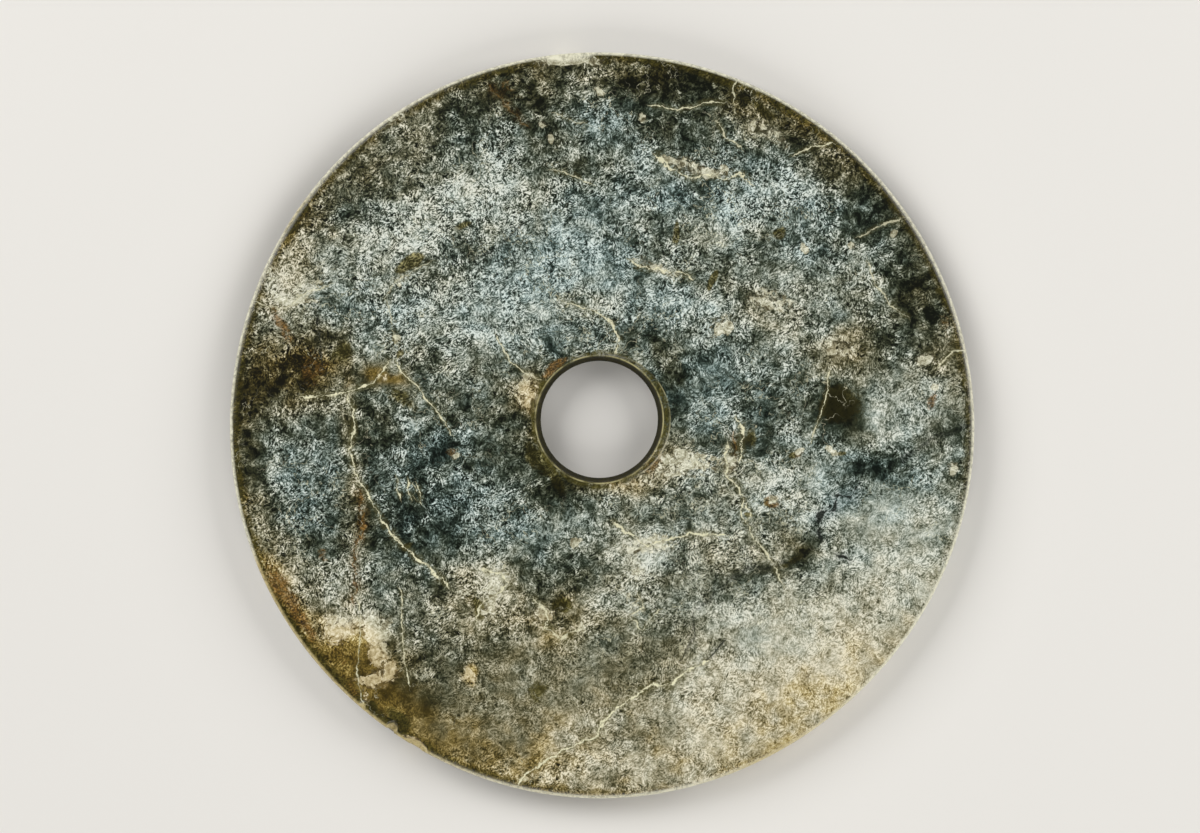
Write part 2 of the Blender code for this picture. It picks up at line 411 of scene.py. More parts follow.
# Veins and cracks: width in millimetres, strength, and the pixels that the line runs through.
# No two lines of a group come nearer than 14 pixels, unless one carries on from the other's end.
CREAM_VEINS = {
    "left": (
        0.5, 1.0, (350, 396), (353, 414), (355, 430), (352, 446), (354, 464), (361, 482),
        (377, 512), (397, 542), (416, 557), (432, 566), (446, 584),
    ),
    "arch": (0.4, 0.45, (398, 345), (392, 322), (386, 298), (396, 281), (412, 274), (428, 266)),
    "crack to the hole": (0.35, 0.8, (498, 338), (510, 358), (524, 370), (540, 378)),
    "bottom": (
        0.5, 1.0, (521, 779), (540, 762), (566, 748), (592, 737), (604, 721), (613, 708),
        (624, 700), (640, 692), (654, 686), (670, 687), (684, 674), (703, 662),
    ),
    "right branch": (0.65, 1.0, (738, 420), (744, 431), (742, 444), (741, 456)),
    "ring's tail": (0.4, 0.8, (750, 528), (760, 545), (772, 560), (782, 584)),
    "low middle seam": (
        0.45, 0.9, (613, 522), (630, 534), (648, 546), (661, 540), (676, 538), (700, 534),
        (722, 535),
    ),
    "top streak": (
        0.5, 0.9, (655, 156), (670, 170), (688, 178), (706, 177), (726, 181), (738, 172),
        (750, 182),
    ),
    "lower left": (0.24, 0.9, (400, 590), (404, 620), (405, 649), (410, 684)),
    "left bloom's edge": (0.45, 0.5, (258, 304), (276, 312), (296, 302), (312, 290), (330, 284)),
    "right field": (0.35, 0.7, (868, 262), (876, 284), (890, 304), (906, 318)),
    "top right": (0.35, 0.8, (652, 106), (678, 110), (700, 104), (722, 103)),
    "low left knot": (
        0.5, 0.9, (484, 570), (500, 573), (508, 582), (496, 594), (481, 604), (478, 618),
    ),
    "low knot": (0.5, 0.8, (536, 600), (546, 612), (544, 628), (560, 638), (578, 630)),
    "knot right of it": (0.4, 0.8, (636, 594), (642, 606), (628, 618), (640, 628), (656, 612)),
    "comb": (0.35, 0.9, (397, 478), (400, 496)),
}
CROSSING_VEINS = {
    "left crossing": (0.45, 1.0, (306, 397), (330, 396), (352, 390), (374, 384), (389, 362)),
    "diagonal": (0.32, 0.9, (398, 364), (408, 380), (420, 388), (432, 404), (440, 414), (450, 430)),
    "right hook": (
        0.5, 0.9, (729, 447), (726, 462), (728, 476), (737, 484), (742, 500), (738, 514),
        (744, 523), (751, 516), (744, 508),
    ),
    "through the corroded field": (0.24, 0.8, (359, 602), (359, 640), (358, 674), (364, 709)),
    "above the hole": (0.5, 0.9, (632, 259), (642, 267), (656, 270), (672, 272), (688, 279)),
    "arc": (0.28, 0.9, (828, 374), (826, 392), (819, 418), (811, 440)),
    "upper right rim": (0.35, 0.8, (795, 156), (812, 149), (829, 145)),
    "rim to the right field": (0.35, 0.6, (862, 236), (878, 228), (898, 221)),
    "top left": (0.4, 0.6, (557, 115), (572, 122), (588, 126)),
    "hook by the rim": (0.35, 0.7, (738, 77), (731, 88), (734, 100)),
    "top right, low": (0.35, 0.7, (716, 122), (727, 138), (738, 147)),
    "under the top": (0.4, 0.7, (556, 172), (576, 178), (592, 183)),
    "right rim": (0.35, 0.7, (938, 366), (952, 352), (962, 350)),
    "over the hole": (
        0.45, 0.9, (562, 300), (580, 308), (600, 312), (613, 326), (618, 342), (614, 356),
    ),
    "comb": (0.35, 0.9, (408, 482), (411, 497)),
    "comb, right": (0.35, 0.9, (419, 486), (422, 499)),
}
RUST_VEINS = {
    "left": (0.7, 1.0, (360, 494), (364, 515), (356, 550), (358, 582), (354, 600)),
    "upper left": (0.8, 0.9, (273, 313), (282, 326), (290, 338)),
    "right branch": (0.6, 0.8, (735, 436), (736, 450), (733, 466)),
    "top left": (0.8, 0.5, (490, 88), (506, 104), (526, 124)),
}
DARK_VEINS = {
    "scratch": (0.6, 0.9, (315, 308), (317, 330), (320, 348), (322, 364)),
    "border, rim": (1.2, 0.6, (966, 424), (942, 434), (922, 446), (902, 460)),
    "border": (
        0.9, 1.0, (856, 488), (851, 498), (836, 497), (834, 512), (821, 515), (815, 526),
        (819, 540),
    ),
    "border, low": (1.2, 0.6, (800, 560), (772, 566), (742, 570), (718, 588), (700, 606)),
    "bottom": (0.4, 0.9, (704, 661), (713, 652), (722, 643)),
    "low": (0.6, 0.6, (692, 616), (693, 636), (682, 656)),
    "above left": (0.45, 0.6, (470, 262), (496, 250), (520, 226)),
    "speck in the corner": (0.9, 1.0, (838, 556), (846, 560)),
}

# The patches' outlines are bent by noise: cell and reach of each bend, in metres
BENDS = ((0.016, 0.0034, 11), (0.006, 0.0016, 12), (0.0028, 0.0007, 13))
SPOT_BENDS = ((0.006, 0.0012, 12), (0.0028, 0.0007, 13))
VEIN_BENDS = ((0.009, 0.0006, 21), (0.003, 0.0003, 22))
VEIN_REACH = 0.0026
PATCH_SHARPNESS = 1.4


def bent(x, y, bends):
    """The places x, y moved about by smooth noise, as pixels of the photograph."""
    moved_x, moved_y = x.copy(), y.copy()
    for cell, reach, seed in bends:
        moved_x += reach * lattice_noise(x, y, cell, seed)
        moved_y += reach * lattice_noise(x, y, cell, seed + 100)
    return to_photo(moved_x, moved_y)


def patch_field(patches, across, down, base=0.0):
    """The sum of soft ellipses over the pixels across, down."""
    field = np.full_like(across, base)
    for middle_x, middle_y, length, width, strength, *turn in sum(patches.values(), []):
        angle = math.radians(sum(turn))
        dx, dy = across - middle_x, middle_y - down
        along = (dx * math.cos(angle) + dy * math.sin(angle)) / length
        aside = (dy * math.cos(angle) - dx * math.sin(angle)) / width
        spread = (along * along + aside * aside) ** PATCH_SHARPNESS
        field += strength * np.exp(-math.log(2) * spread)
    return field


def round_patches(spots):
    """Spots that share a half width and a strength, as patches."""
    return {
        name: [(across, down, radius, radius, strength) for across, down in places]
        for name, (radius, strength, places) in spots.items()
    }


def vein_field(veins, across, down):
    """Signed distance from the nearest vein, in its widths, and that vein's strength nearby."""
    nearest = np.full_like(across, np.inf)
    signed = np.zeros_like(across)
    strength = np.zeros_like(across)
    for width_mm, vein_strength, *route in veins.values():
        width = width_mm * MM / PX
        for (x0, y0), (x1, y1) in zip(route, route[1:]):
            run_x, run_y = x1 - x0, y1 - y0
            length = math.hypot(run_x, run_y)
            along = ((across - x0) * run_x + (down - y0) * run_y) / length**2
            place = np.clip(along, 0, 1)
            gap = np.hypot(across - x0 - place * run_x, down - y0 - place * run_y)
            side = np.sign((across - x0) * run_y - (down - y0) * run_x)
            closer = gap < nearest
            nearest = np.where(closer, gap, nearest)
            signed = np.where(closer, side * gap / width, signed)
            strength = np.where(closer, vein_strength, strength)
    reach = VEIN_REACH / PX
    return signed, strength * smoothstep(reach, 0.5 * reach, nearest)


# Fine relief on the faces, in metres
UNDULATIONS = ((0.034, 0.00010, 31), (0.013, 0.00004, 32))
CRUST_RELIEF = 0.00012
CRUST_PITTING = ((0.0042, 0.00022, 41), (0.0024, 0.00012, 42))
CRUST_FROM, CRUST_FULL = 0.35, 0.6
STEP_WALL = 0.0005

# Where a highlight is painted on the rim's upper corner: heights over the wall's top and over the rim's
# top
HIGHLIGHT_RISE = (-0.0015, 0.0004)
HIGHLIGHT_FALL = (-0.0002, -0.0007)


def column_angles():
    """Angles of the mesh's columns, closer together beside the chips at lower left."""
    angle = np.linspace(0, 360, 3601)
    crowd = 1 + CROWDING * np.exp(-(((angle - CROWDED_ANGLE) / CROWDED_WIDTH) ** 2))
    share = np.concatenate(([0], np.cumsum((crowd[1:] + crowd[:-1]) / 2)))
    steps = np.arange(COLUMNS) / COLUMNS * share[-1]
    return np.radians(np.interp(steps, share, angle))


def face_height(radius):
    """The upper face's crown, falling from the hub to the rim."""
    return HUB_THICKNESS - (HUB_THICKNESS - RIM_THICKNESS) * (radius / SHOULDER_RADIUS) ** 2


def face_shares():
    """How far each ring of the upper face is from the hole's mouth to the shoulder, 0 to 1."""
    span = SHOULDER_RADIUS - BORE_MOUTH_RADIUS
    hole_side = np.arange(HOLE_SIDE_RINGS) * HOLE_SIDE_SPACING
    rim_side = span - np.arange(RIM_SIDE_RINGS, -1, -1) * RIM_SIDE_SPACING
    middle = np.linspace(hole_side[-1] + HOLE_SIDE_SPACING, rim_side[0], FACE_RINGS, endpoint=False)
    return np.concatenate((hole_side, middle, rim_side)) / span


def section_rings():
    """Every ring of the disc's section: share from hole to rim, radius offset, height, part."""
    rings = [(share, 0.0, None, "face") for share in face_shares()]
    for step in range(1, CORNER_RINGS + 1):
        turn = math.pi / 2 * (1 - step / CORNER_RINGS)
        rise = RIM_THICKNESS - RIM_ROUNDING + RIM_ROUNDING * math.sin(turn)
        rings.append((1.0, RIM_ROUNDING * math.cos(turn), rise, "rim"))
    for step in range(1, WALL_RINGS):
        rise = RIM_THICKNESS - RIM_ROUNDING
        rise += (2 * RIM_ROUNDING - RIM_THICKNESS) * step / WALL_RINGS
        rings.append((1.0, RIM_ROUNDING, rise, "rim"))
    for step in range(CORNER_RINGS):
        turn = math.pi / 2 * step / CORNER_RINGS
        rise = RIM_ROUNDING - RIM_ROUNDING * math.sin(turn)
        rings.append((1.0, RIM_ROUNDING * math.cos(turn), rise, "rim"))
    for step in range(UNDERSIDE_RINGS):
        rings.append((1 - step / UNDERSIDE_RINGS, 0.0, 0.0, "back"))
    ridge = HUB_THICKNESS * BORE_RIDGE_SHARE
    for low, high in ((0.0, ridge), (face_height(BORE_MOUTH_RADIUS), ridge)):
        wall = bore_wall(low, high)
        rings += wall if low < high else wall[-2:0:-1]
    return rings


def bore_wall(mouth, ridge):
    """Rings of one drilling from its eased mouth to the ridge."""
    ease = math.copysign(BORE_MOUTH_EASE, ridge - mouth)
    rings = [(0.0, 0.0, mouth, "bore")]
    for step in range(BORE_RINGS + 1):
        share = step / BORE_RINGS
        radius = BORE_DIAMETER / 2 + BORE_FLARE * math.cos(share * math.pi / 2)
        height = mouth + ease + (ridge - mouth - ease) * share
        rings.append((0.0, radius - BORE_MOUTH_RADIUS, height, "bore"))
    return rings


def break_edge(points):
    """Presses the points that lie inside a loss inwards and down onto its hollow's wall."""
    for _, degrees, length, reach, depth in RIM_LOSSES:
        angle = np.radians([degrees])
        radius = outline_radius(angle)[0]
        outward = np.array([math.cos(angle[0]), math.sin(angle[0]), 0.0])
        along = np.array([-outward[1], outward[0], 0.0])
        up = np.array([0.0, 0.0, 1.0])
        middle = radius * outward + RIM_THICKNESS * up
        middle[:2] -= BOX_MIDDLE
        axes = np.stack((outward / reach, along / (length / 2), up / depth))
        place = (points - middle) @ axes.T
        press = -(outward * reach + up * depth) / math.hypot(reach, depth)
        way = axes @ press
        inside = (place**2).sum(axis=1) < 1
        a = way @ way
        b = place[inside] @ way
        c = (place[inside] ** 2).sum(axis=1) - 1
        points[inside] += ((-b + np.sqrt(b * b - a * c)) / a)[:, None] * press


def disc_points(rings, angle):
    """Every point of the fine disc, ring by ring, and the names of the parts they are on."""
    outward = np.stack((np.cos(angle), np.sin(angle)), axis=1)
    rim = outward * (outline_radius(angle) - RIM_ROUNDING)[:, None] - BOX_MIDDLE
    mouth = outward * BORE_MOUTH_RADIUS + BORE_OFFSET - BOX_MIDDLE
    points, parts = [], []
    for share, offset, height, part in rings:
        flat = mouth + (rim - mouth) * share + outward * offset
        from_middle = np.hypot(*(flat + BOX_MIDDLE).T)
        level = face_height(from_middle) if height is None else np.full(len(angle), height)
        points.append(np.column_stack((flat, level)))
        parts += [part] * len(angle)
    return np.concatenate(points), np.array(parts)


def beyond_mouth(x, y, along):
    """Distance outwards from a circle as wide as the hole's mouth, with its middle in the same row."""
    middle_x, middle_y = along - BOX_MIDDLE[0], BORE_OFFSET[1] - BOX_MIDDLE[1]
    return np.hypot(x - middle_x, y - middle_y) - BORE_MOUTH_RADIUS


def painted_rim_highlight(height):
    """How strongly a highlight is painted on the rim's upper corner, by height: most just below the face.
    """
    above_rim = height - RIM_THICKNESS
    return smoothstep(*HIGHLIGHT_RISE, above_rim + RIM_ROUNDING) * smoothstep(*HIGHLIGHT_FALL, above_rim)


def wear_face(points, face, cream):
    """Adds the drill's step, the slow waves of hand polishing and the crust's relief."""
    x, y = points[face, 0], points[face, 1]
    level = points[face, 2]
    for cell, height, seed in UNDULATIONS:
        level = level - height * (0.5 + 0.5 * lattice_noise(x, y, cell, seed))
    beyond = beyond_mouth(x, y, BORE_OFFSET[0] + STEP_SHIFT)
    step_floor = HUB_THICKNESS - STEP_DEPTH
    in_step = smoothstep(0.5 * STEP_WALL, -0.5 * STEP_WALL, beyond)
    level = level + np.minimum(step_floor - level, 0) * in_step
    crust = smoothstep(CRUST_FROM, CRUST_FULL, cream[face])
    pitting = sum(
        height * np.maximum(lattice_noise(x, y, cell, seed), 0)
        for cell, height, seed in CRUST_PITTING
    )
    points[face, 2] = level + crust * (CRUST_RELIEF - pitting)


def fine_disc():
    """The disc that shows, as one closed mesh of rings round the hole, with its stone's fields."""
    rings = section_rings()
    angle = column_angles()
    points, parts = disc_points(rings, angle)
    x, y = points[:, 0].copy(), points[:, 1].copy()
    across, down = bent(x, y, BENDS)
    fields = {
        "shade": patch_field(SHADE_PATCHES, across, down, BASE_SHADE),
        "warmth": patch_field(WARMTH_PATCHES, across, down, BASE_WARMTH),
        "olive_rim": patch_field(OLIVE_RIM_PATCHES, across, down, 1.0),
        "grit": patch_field(GRIT_PATCHES, across, down, 1.0),
    }
    across, down = bent(x, y, SPOT_BENDS)
    fields["cream"] = patch_field(CREAM_PATCHES | round_patches(CREAM_SPECKS), across, down)
    fields["rust"] = patch_field(RUST_PATCHES, across, down)
    fields["window"] = patch_field(WINDOW_PATCHES, across, down)
    across, down = bent(x, y, VEIN_BENDS)
    groups = {
        "cream_vein": CREAM_VEINS,
        "crossing_vein": CROSSING_VEINS,
        "rust_vein": RUST_VEINS,
        "dark_vein": DARK_VEINS,
    }
    on_front = parts != "back"
    for name, veins in groups.items():
        fields[name], strength = vein_field(veins, across, down)
        fields[name + "_strength"] = strength * on_front
    from_middle = np.hypot(x + BOX_MIDDLE[0], y + BOX_MIDDLE[1])
    round_disc = np.arctan2(y + BOX_MIDDLE[1], x + BOX_MIDDLE[0])
    fields["from_rim"] = (outline_radius(round_disc) - from_middle) / MM
    fields["from_hole"] = beyond_mouth(x, y, BORE_OFFSET[0]) / MM
    fields["from_start"] = beyond_mouth(x, y, BORE_OFFSET[0] + STEP_SHIFT) / MM
    # Where the rim's upper corner gets a painted highlight
    fields["painted_rim_highlight"] = painted_rim_highlight(points[:, 2]) * (parts == "rim")

    wear_face(points, parts == "face", fields["cream"])
    break_edge(points)
    mesh = bpy.data.meshes.new("jade_disc_fine")
    mesh.from_pydata(points.tolist(), [], quads(len(rings), len(angle)).tolist())
    mesh.shade_smooth()
    in_bore = [part == "bore" for *_, part in rings]
    mesh.polygons.foreach_set("material_index", np.repeat(in_bore, len(angle)).astype(np.int32))
    for name, values in fields.items():
        layer = mesh.attributes.new(name, "FLOAT", "POINT")
        layer.data.foreach_set("value", np.ascontiguousarray(values, dtype=np.float32))
    disc = bpy.data.objects.new("jade_disc_fine", mesh)
    bpy.context.scene.collection.objects.link(disc)
    return disc


def quads(ring_count, column_count):
    """Faces between neighbouring rings and columns, both closed into loops."""
    ring = np.arange(ring_count)[:, None]
    column = np.arange(column_count)[None, :]
    next_ring = (ring + 1) % ring_count
    next_column = (column + 1) % column_count
    corners = (
        ring * column_count + column,
        next_ring * column_count + column,
        next_ring * column_count + next_column,
        ring * column_count + next_column,
    )
    shape = (ring_count, column_count)
    return np.stack([np.broadcast_to(c, shape) for c in corners], -1).reshape(-1, 4)


def linear(red, green, blue):
    """A colour of the screen, 0 to 255, as the shader's linear colour."""
    shares = [value / 255 for value in (red, green, blue)]
    return (*[s / 12.92 if s <= 0.04045 else ((s + 0.055) / 1.055) ** 2.4 for s in shares], 1.0)


# Colours of the stone, as they look in the photograph, from dark to pale: where along the ramp
# each colour stands, and the colours
TONE_STOPS = (0.0, 0.22, 0.45, 0.68, 1.0)
CRUST_STOPS = (0.0, 0.3, 0.6, 1.0)
SAGE_SHADES = (TONE_STOPS, ((6, 12, 2), (50, 58, 42), (105, 113, 98), (162, 169, 154), (226, 229, 216)))
SLATE_SHADES = (TONE_STOPS, ((4, 14, 8), (44, 58, 51), (94, 111, 105), (149, 167, 162), (216, 228, 222)))
OLIVE_SHADES = (TONE_STOPS, ((14, 12, 0), (66, 58, 22), (124, 112, 72), (182, 168, 130), (240, 228, 196)))
GOLD_SHADES = (TONE_STOPS, ((24, 20, 2), (66, 54, 14), (126, 106, 48), (192, 170, 104), (246, 236, 190)))
CREAM_SHADES = (CRUST_STOPS, ((70, 64, 36), (130, 124, 94), (196, 194, 166), (246, 244, 224)))
OCHRE_SHADES = (CRUST_STOPS, ((72, 56, 16), (130, 110, 62), (202, 186, 142), (250, 242, 212)))
RUST_SHADES = ((0.0, 0.35, 0.7, 1.0), ((30, 20, 1), (86, 62, 14), (148, 108, 42), (222, 186, 118)))
RIM_SHADES = ((0.0, 0.25, 0.5, 1.0), ((20, 19, 1), (42, 39, 8), (82, 76, 28), (178, 168, 102)))
VEIN_COLOUR = (232, 228, 192)
VEIN_STAIN = (108, 102, 60)
DARK_VEIN_COLOUR = (14, 20, 12)
# Colours of the highlight painted on the rim's upper corner, pale, and golden where the stone is warm
RIM_HIGHLIGHT_COLOUR = (236, 233, 208)
GOLDEN_RIM_HIGHLIGHT_COLOUR = (204, 186, 130)
# Colour of the highlights painted along the hole's mouth and the drill step's edge
HOLE_HIGHLIGHT_COLOUR = (180, 172, 126)


class Value:
    """A number or colour in a node tree. Numbers add, subtract and multiply as plain ones do."""

    def __init__(self, graph, socket):
        self.graph = graph
        self.socket = socket

    def __add__(self, other):
        return self.graph.calc("ADD", self, other)

    def __sub__(self, other):
        return self.graph.calc("SUBTRACT", self, other)

    def __mul__(self, other):
        return self.graph.calc("MULTIPLY", self, other)

    def __abs__(self):
        return self.graph.calc("ABSOLUTE", self)

    __radd__ = __add__
    __rmul__ = __mul__


class Graph:
    """Short forms for building one material's nodes. A size is the width of a noise's features."""

    def __init__(self, material):
        self.tree = material.node_tree

    def node(self, kind, inputs=(), **settings):
        """Adds a node. Its inputs are given by name or by number."""
        made = self.tree.nodes.new(kind)
        for name, value in settings.items():
            setattr(made, name, value)
        for name, value in dict(inputs).items():
            self.feed(made.inputs[name], value)
        return made

    def feed(self, socket, value):
        if isinstance(value, Value):
            self.tree.links.new(value.socket, socket)
        else:
            socket.default_value = value

    def value(self, made, output=0):
        return Value(self, made.outputs[output])

    def attribute(self, name):
        return self.value(self.node("ShaderNodeAttribute", attribute_name=name), "Fac")

    def calc(self, operation, *values, clamp=False):
        settings = {"operation": operation, "use_clamp": clamp}
        return self.value(self.node("ShaderNodeMath", enumerate(values), **settings))

    def larger(self, first, second):
        return self.calc("MAXIMUM", first, second)

    def vector(self, operation, *values):
        return self.value(self.node("ShaderNodeVectorMath", enumerate(values), operation=operation))

    def noise(self, place, size, detail=2.0, roughness=0.6, distortion=0.0, output="Fac"):
        inputs = {
            "Vector": place,
            "Scale": 1 / size,
            "Detail": detail,
            "Roughness": roughness,
            "Distortion": distortion,
        }
        return self.value(self.node("ShaderNodeTexNoise", inputs), output)

    def swing(self, place, size, reach, **noise):
        """Noise about nought that reaches about as far as stated on either side."""
        return (self.noise(place, size, **noise) - 0.5) * (4 * reach)

    def strokes(self, place, width, length, turn):
        """Noise from about -1 to 1 in short strokes, which lie at a turn from level in degrees."""
        inputs = {
            "Vector": place,
            "Rotation": (0.0, 0.0, math.radians(turn)),
            "Scale": (length / width, 1.0, 1.0),
        }
        laid = self.value(self.node("ShaderNodeMapping", inputs, vector_type="TEXTURE"))
        return self.swing(laid, width, 1.0, detail=1.0, roughness=0.5)

    def lines(self, place, size, width, **noise):
        """Thin curved lines, 0 to 1, where a noise crosses its middle value."""
        return self.step(abs(self.swing(place, size, 1.0, **noise)), width, 0.0)

    def dots(self, place, size, radius, shift):
        """Scattered round dots, 0 to 1, up to the stated radius in cells of the stated size."""
        moved = self.vector("ADD", place, (shift, 2 * shift, 0.0))
        made = self.node("ShaderNodeTexVoronoi", {"Vector": moved, "Scale": 1 / size})
        return self.step(self.value(made, "Distance"), radius, 0.6 * radius)

    def step(self, value, low, high, to_low=0.0, to_high=1.0):
        """Goes smoothly from one result to the other as the value goes from low to high."""
        inputs = {
            "Value": value,
            "From Min": low,
            "From Max": high,
            "To Min": to_low,
            "To Max": to_high,
        }
        return self.value(self.node("ShaderNodeMapRange", inputs, interpolation_type="SMOOTHSTEP"))

    def mix(self, share, first, second):
        """A colour between two others. A colour mix node has its colours at inputs 6 and 7."""
        inputs = {0: share, 6: first, 7: second}
        return self.value(self.node("ShaderNodeMix", inputs, data_type="RGBA"), 2)

    def ramp(self, value, shades):
        made = self.node("ShaderNodeValToRGB", {"Fac": value})
        elements = made.color_ramp.elements
        while len(elements) < len(shades[0]):
            elements.new(0.5)
        for element, place, colour in zip(elements, *shades):
            element.position = place
            element.color = linear(*colour)
        return self.value(made, "Color")


# How the stone's grain is drawn: feature sizes in metres, how far each moves the tone, and detail
WARP_SIZE = 0.0050
WARP_REACH = 0.0009
SHADE_GAIN = 1.35
TONE_SHIFT = -0.045
CLOUDS = ((0.0036, 0.25, 2.0, 0.4), (0.0080, 0.24, 3.0, 1.2), (0.022, 0.05, 1.0, 0.6))
SPECKLE = ((0.00046, 0.40), (0.00095, 0.20))
STROKE_WIDTH = 0.00045
STROKE_LAYS = ((0.0011, 82.0), (0.0013, 36.0))
STROKE_REACH = 0.46
LAY_SIZE = 0.016
GRAIN_TONE = 1.08
GRAIN_SPREAD = (0.009, 0.36, 0.64, 0.72, 1.22)
FELT = (0.0016, 0.15)
FELT_TONE = 0.12
PITS = ((0.0024, 0.20, 0.31), (0.0058, 0.16, 0.77))
PIT_TONE = -0.34
GAPS = (0.0021, 0.655, 0.72)
GAP_TONE = -0.26
SPECKS = (0.0034, 0.12, 1.31)
SPECK_TONE = 0.38
MOTTLE = (0.0014, 0.5)

# The noises that fray the edges of stains and veins: feature size in metres, and reach
HUE_DRIFT = (0.013, 0.26)
HUE_FLECKS = (0.0055, 0.14)
RIM_EDGE = (0.0045, 1.3)
HOLE_EDGE = (0.0045, 0.7)
RUST_EDGE = (0.005, 0.14)
HAZE_EDGE = (0.0052, 0.20)
LACE_EDGE = (0.0030, 0.60)
CRUST_GRAIN = (0.0022, 0.20)
CRUST_HOLES = (0.0042, 0.30, 2.13)
VEIN_WOBBLE = (0.0036, 2.1)
VEIN_SWELLING = 0.0042
HAIRLINES = (0.012, 0.024)
HAIRLINE_AREAS = 0.021
LINE_UNEVENNESS = 0.006

# Gloss: roughness of polished and of dull stone, the shader's constants, and the two finishes'
# specular level and coat
ROUGHNESS = (0.30, 0.62)
STONE_IOR = 1.55
COAT_ROUGHNESS = 0.12
FINISHES = {"weathered_jade": (0.32, 0.05), "drilled_jade": (0.10, 0.0)}
BUMP = {"Strength": 0.35, "Distance": 0.00025}


def bent_place(graph):
    """The stone's own coordinates, and the same bent by noise, so that its grain flows."""
    place = graph.value(graph.node("ShaderNodeTexCoord"), "Object")
    wander = graph.noise(place, WARP_SIZE, detail=2.0, output="Color")
    wander = graph.vector("SUBTRACT", wander, (0.5, 0.5, 0.5))
    wander = graph.vector("MULTIPLY", wander, (4 * WARP_REACH,) * 3)
    return place, graph.vector("ADD", place, wander)


def cloud_tone(graph, flow):
    """How pale the stone is before its grain: the placed patches, and clouds of its own."""
    clouds = sum(
        graph.swing(flow, size, reach, detail=detail, distortion=distortion)
        for size, reach, detail, distortion in CLOUDS
    )
    calm = graph.step(graph.attribute("grit"), 0.35, 0.95, 0.50, 1.0)
    placed = (graph.attribute("shade") - BASE_SHADE) * SHADE_GAIN
    return placed + clouds * calm + (BASE_SHADE + TONE_SHIFT)


def grain_tone(graph, place, flow):
    """The nephrite's fine texture, as a change of tone: short felted fibres, pits and specks."""
    upright, slanting = [
        graph.strokes(flow, STROKE_WIDTH, length, turn) for length, turn in STROKE_LAYS
    ]
    lay = graph.step(graph.noise(place, LAY_SIZE, detail=1.0), 0.45, 0.55)
    fibres = (upright + (slanting - upright) * lay) * STROKE_REACH
    speckle = sum(graph.swing(flow, size, reach, detail=0.0) for size, reach in SPECKLE)
    grain = graph.step(fibres + speckle, -0.90, 0.90, -0.5 * GRAIN_TONE, 0.5 * GRAIN_TONE)
    size, *spread = GRAIN_SPREAD
    grain *= graph.step(graph.noise(place, size, detail=1.0), *spread)
    felt = graph.lines(flow, *FELT, detail=1.0)
    pits = graph.larger(*[graph.dots(flow, *pit) for pit in PITS])
    size, low, high = GAPS
    gaps = graph.step(graph.noise(flow, size, detail=1.0), low, high)
    specks = graph.dots(flow, *SPECKS)
    return grain + felt * FELT_TONE + pits * PIT_TONE + gaps * GAP_TONE + specks * SPECK_TONE


def stone_tone(graph, flow, grain, olive):
    """How pale the stone is with its grain, which stands out less where the stone is dark."""
    cloud = cloud_tone(graph, flow)
    contrast = graph.attribute("grit") * graph.step(cloud, 0.05, 0.50, 0.30, 1.0)
    return cloud + grain * contrast - olive * 0.12


def stone_colour(graph, place, flow, tone, olive):
    """Nephrite from teal-black to greenish white, turning olive and golden where it is warm."""
    hue = graph.attribute("warmth") + graph.swing(place, *HUE_DRIFT, detail=2.0)
    hue += graph.swing(flow, *HUE_FLECKS, detail=1.0) + olive * 0.5
    warm = graph.calc("ADD", hue, 0.0, clamp=True)
    blue = graph.calc("MULTIPLY", hue, -2.2, clamp=True)
    golden = graph.step(hue, 0.65, 1.35)
    cool = graph.mix(blue, graph.ramp(tone, SAGE_SHADES), graph.ramp(tone, SLATE_SHADES))
    colour = graph.mix(warm, cool, graph.ramp(tone, OLIVE_SHADES))
    return graph.mix(golden, colour, graph.ramp(tone, GOLD_SHADES))


def add_window(graph, tone, mottle, colour):
    """Spots where the stone is clear and deep olive, with crisp edges."""
    window = graph.step(graph.attribute("window") + mottle * 0.25, 0.34, 0.62, 0.0, 0.90)
    depth = tone * 0.62 + mottle * 0.12 + 0.12
    return graph.mix(window, colour, graph.ramp(depth, RIM_SHADES))


def olive_rim_and_glow_share(graph, place):
    """Where the rim's olive band is painted: partly the stone's own olive, partly the colour of light
    through its thin translucent edge.
    """
    ragged = graph.attribute("from_rim") + graph.swing(place, *RIM_EDGE, detail=3.0)
    thin = graph.step(ragged, 4.4, 1.4)
    return graph.calc("MULTIPLY", thin, graph.attribute("olive_rim"), clamp=True)


def vein_line(graph, name, wobble, width):
    """One group of veins as a thin line and as the soft stain beside it, both 0 to 1."""
    off = abs(graph.attribute(name) + wobble)
    strength = graph.attribute(name + "_strength")
    line = graph.step(graph.calc("DIVIDE", off, width), 1.05, 0.35)
    stain = graph.step(off, 4.5, 0.6)
    return line * strength, stain * strength


def add_rust(graph, place, grain, mottle, vein, colour):
    """Brown iron stains, streaked as the stone's fibres are. Returns the colour and their share."""
    line, stain = vein
    edge = graph.attribute("rust") + mottle * 0.45 + graph.swing(place, *RUST_EDGE, detail=2.0)
    rust = graph.larger(graph.step(edge, 0.28, 0.90, 0.0, 0.86), line * 0.6 + stain * 0.25)
    tone = mottle * 0.6 + grain * 0.5 + 0.40
    return graph.mix(rust, colour, graph.ramp(tone, RUST_SHADES)), rust


